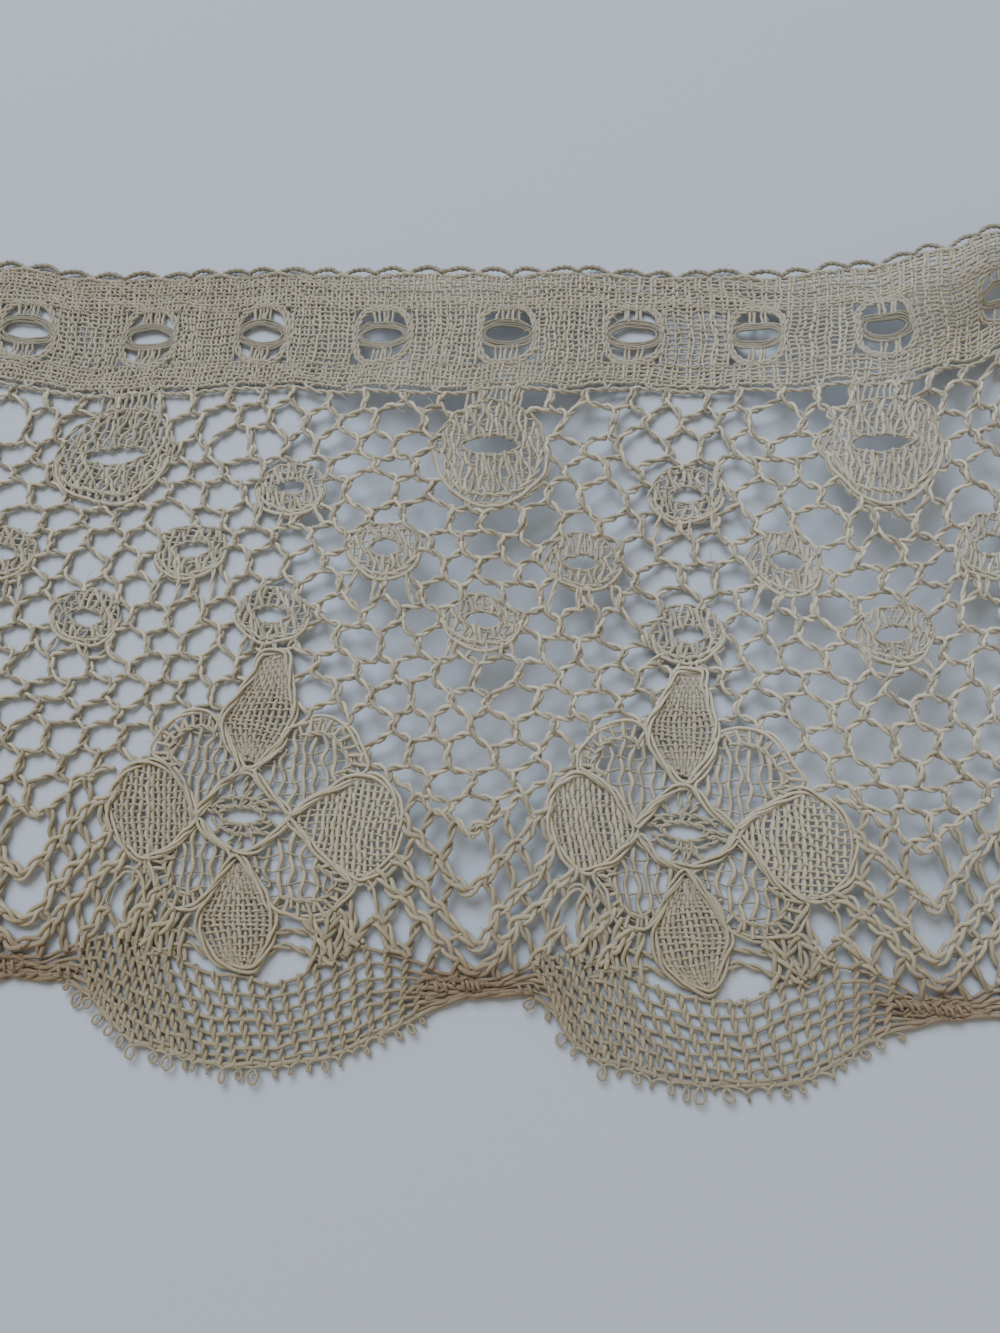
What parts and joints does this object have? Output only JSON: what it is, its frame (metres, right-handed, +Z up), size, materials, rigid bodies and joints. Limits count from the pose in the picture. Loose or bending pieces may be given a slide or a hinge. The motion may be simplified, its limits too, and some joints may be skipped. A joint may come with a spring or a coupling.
{
  "type": "lace trim, a cut length of scalloped bobbin lace edging",
  "caption": "Flat cut length of scalloped lace edging with looped heading, ringed net ground and petalled flowers, lying in soft folds.",
  "frame": {"origin": "on the surface that it lies on, under the middle of the cut length", "axes": "+X along the edging, +Y from the scallops to the looped heading, +Z up from the surface"},
  "size_m": [0.148, 0.0838, 0.0057],
  "materials": {
    "ecru_thread": "aged ecru linen thread, matt, slightly yellowed"
  },
  "bodies": {
    "root": {"lace_trim": "ecru_thread"}
  },
  "joints": []
}
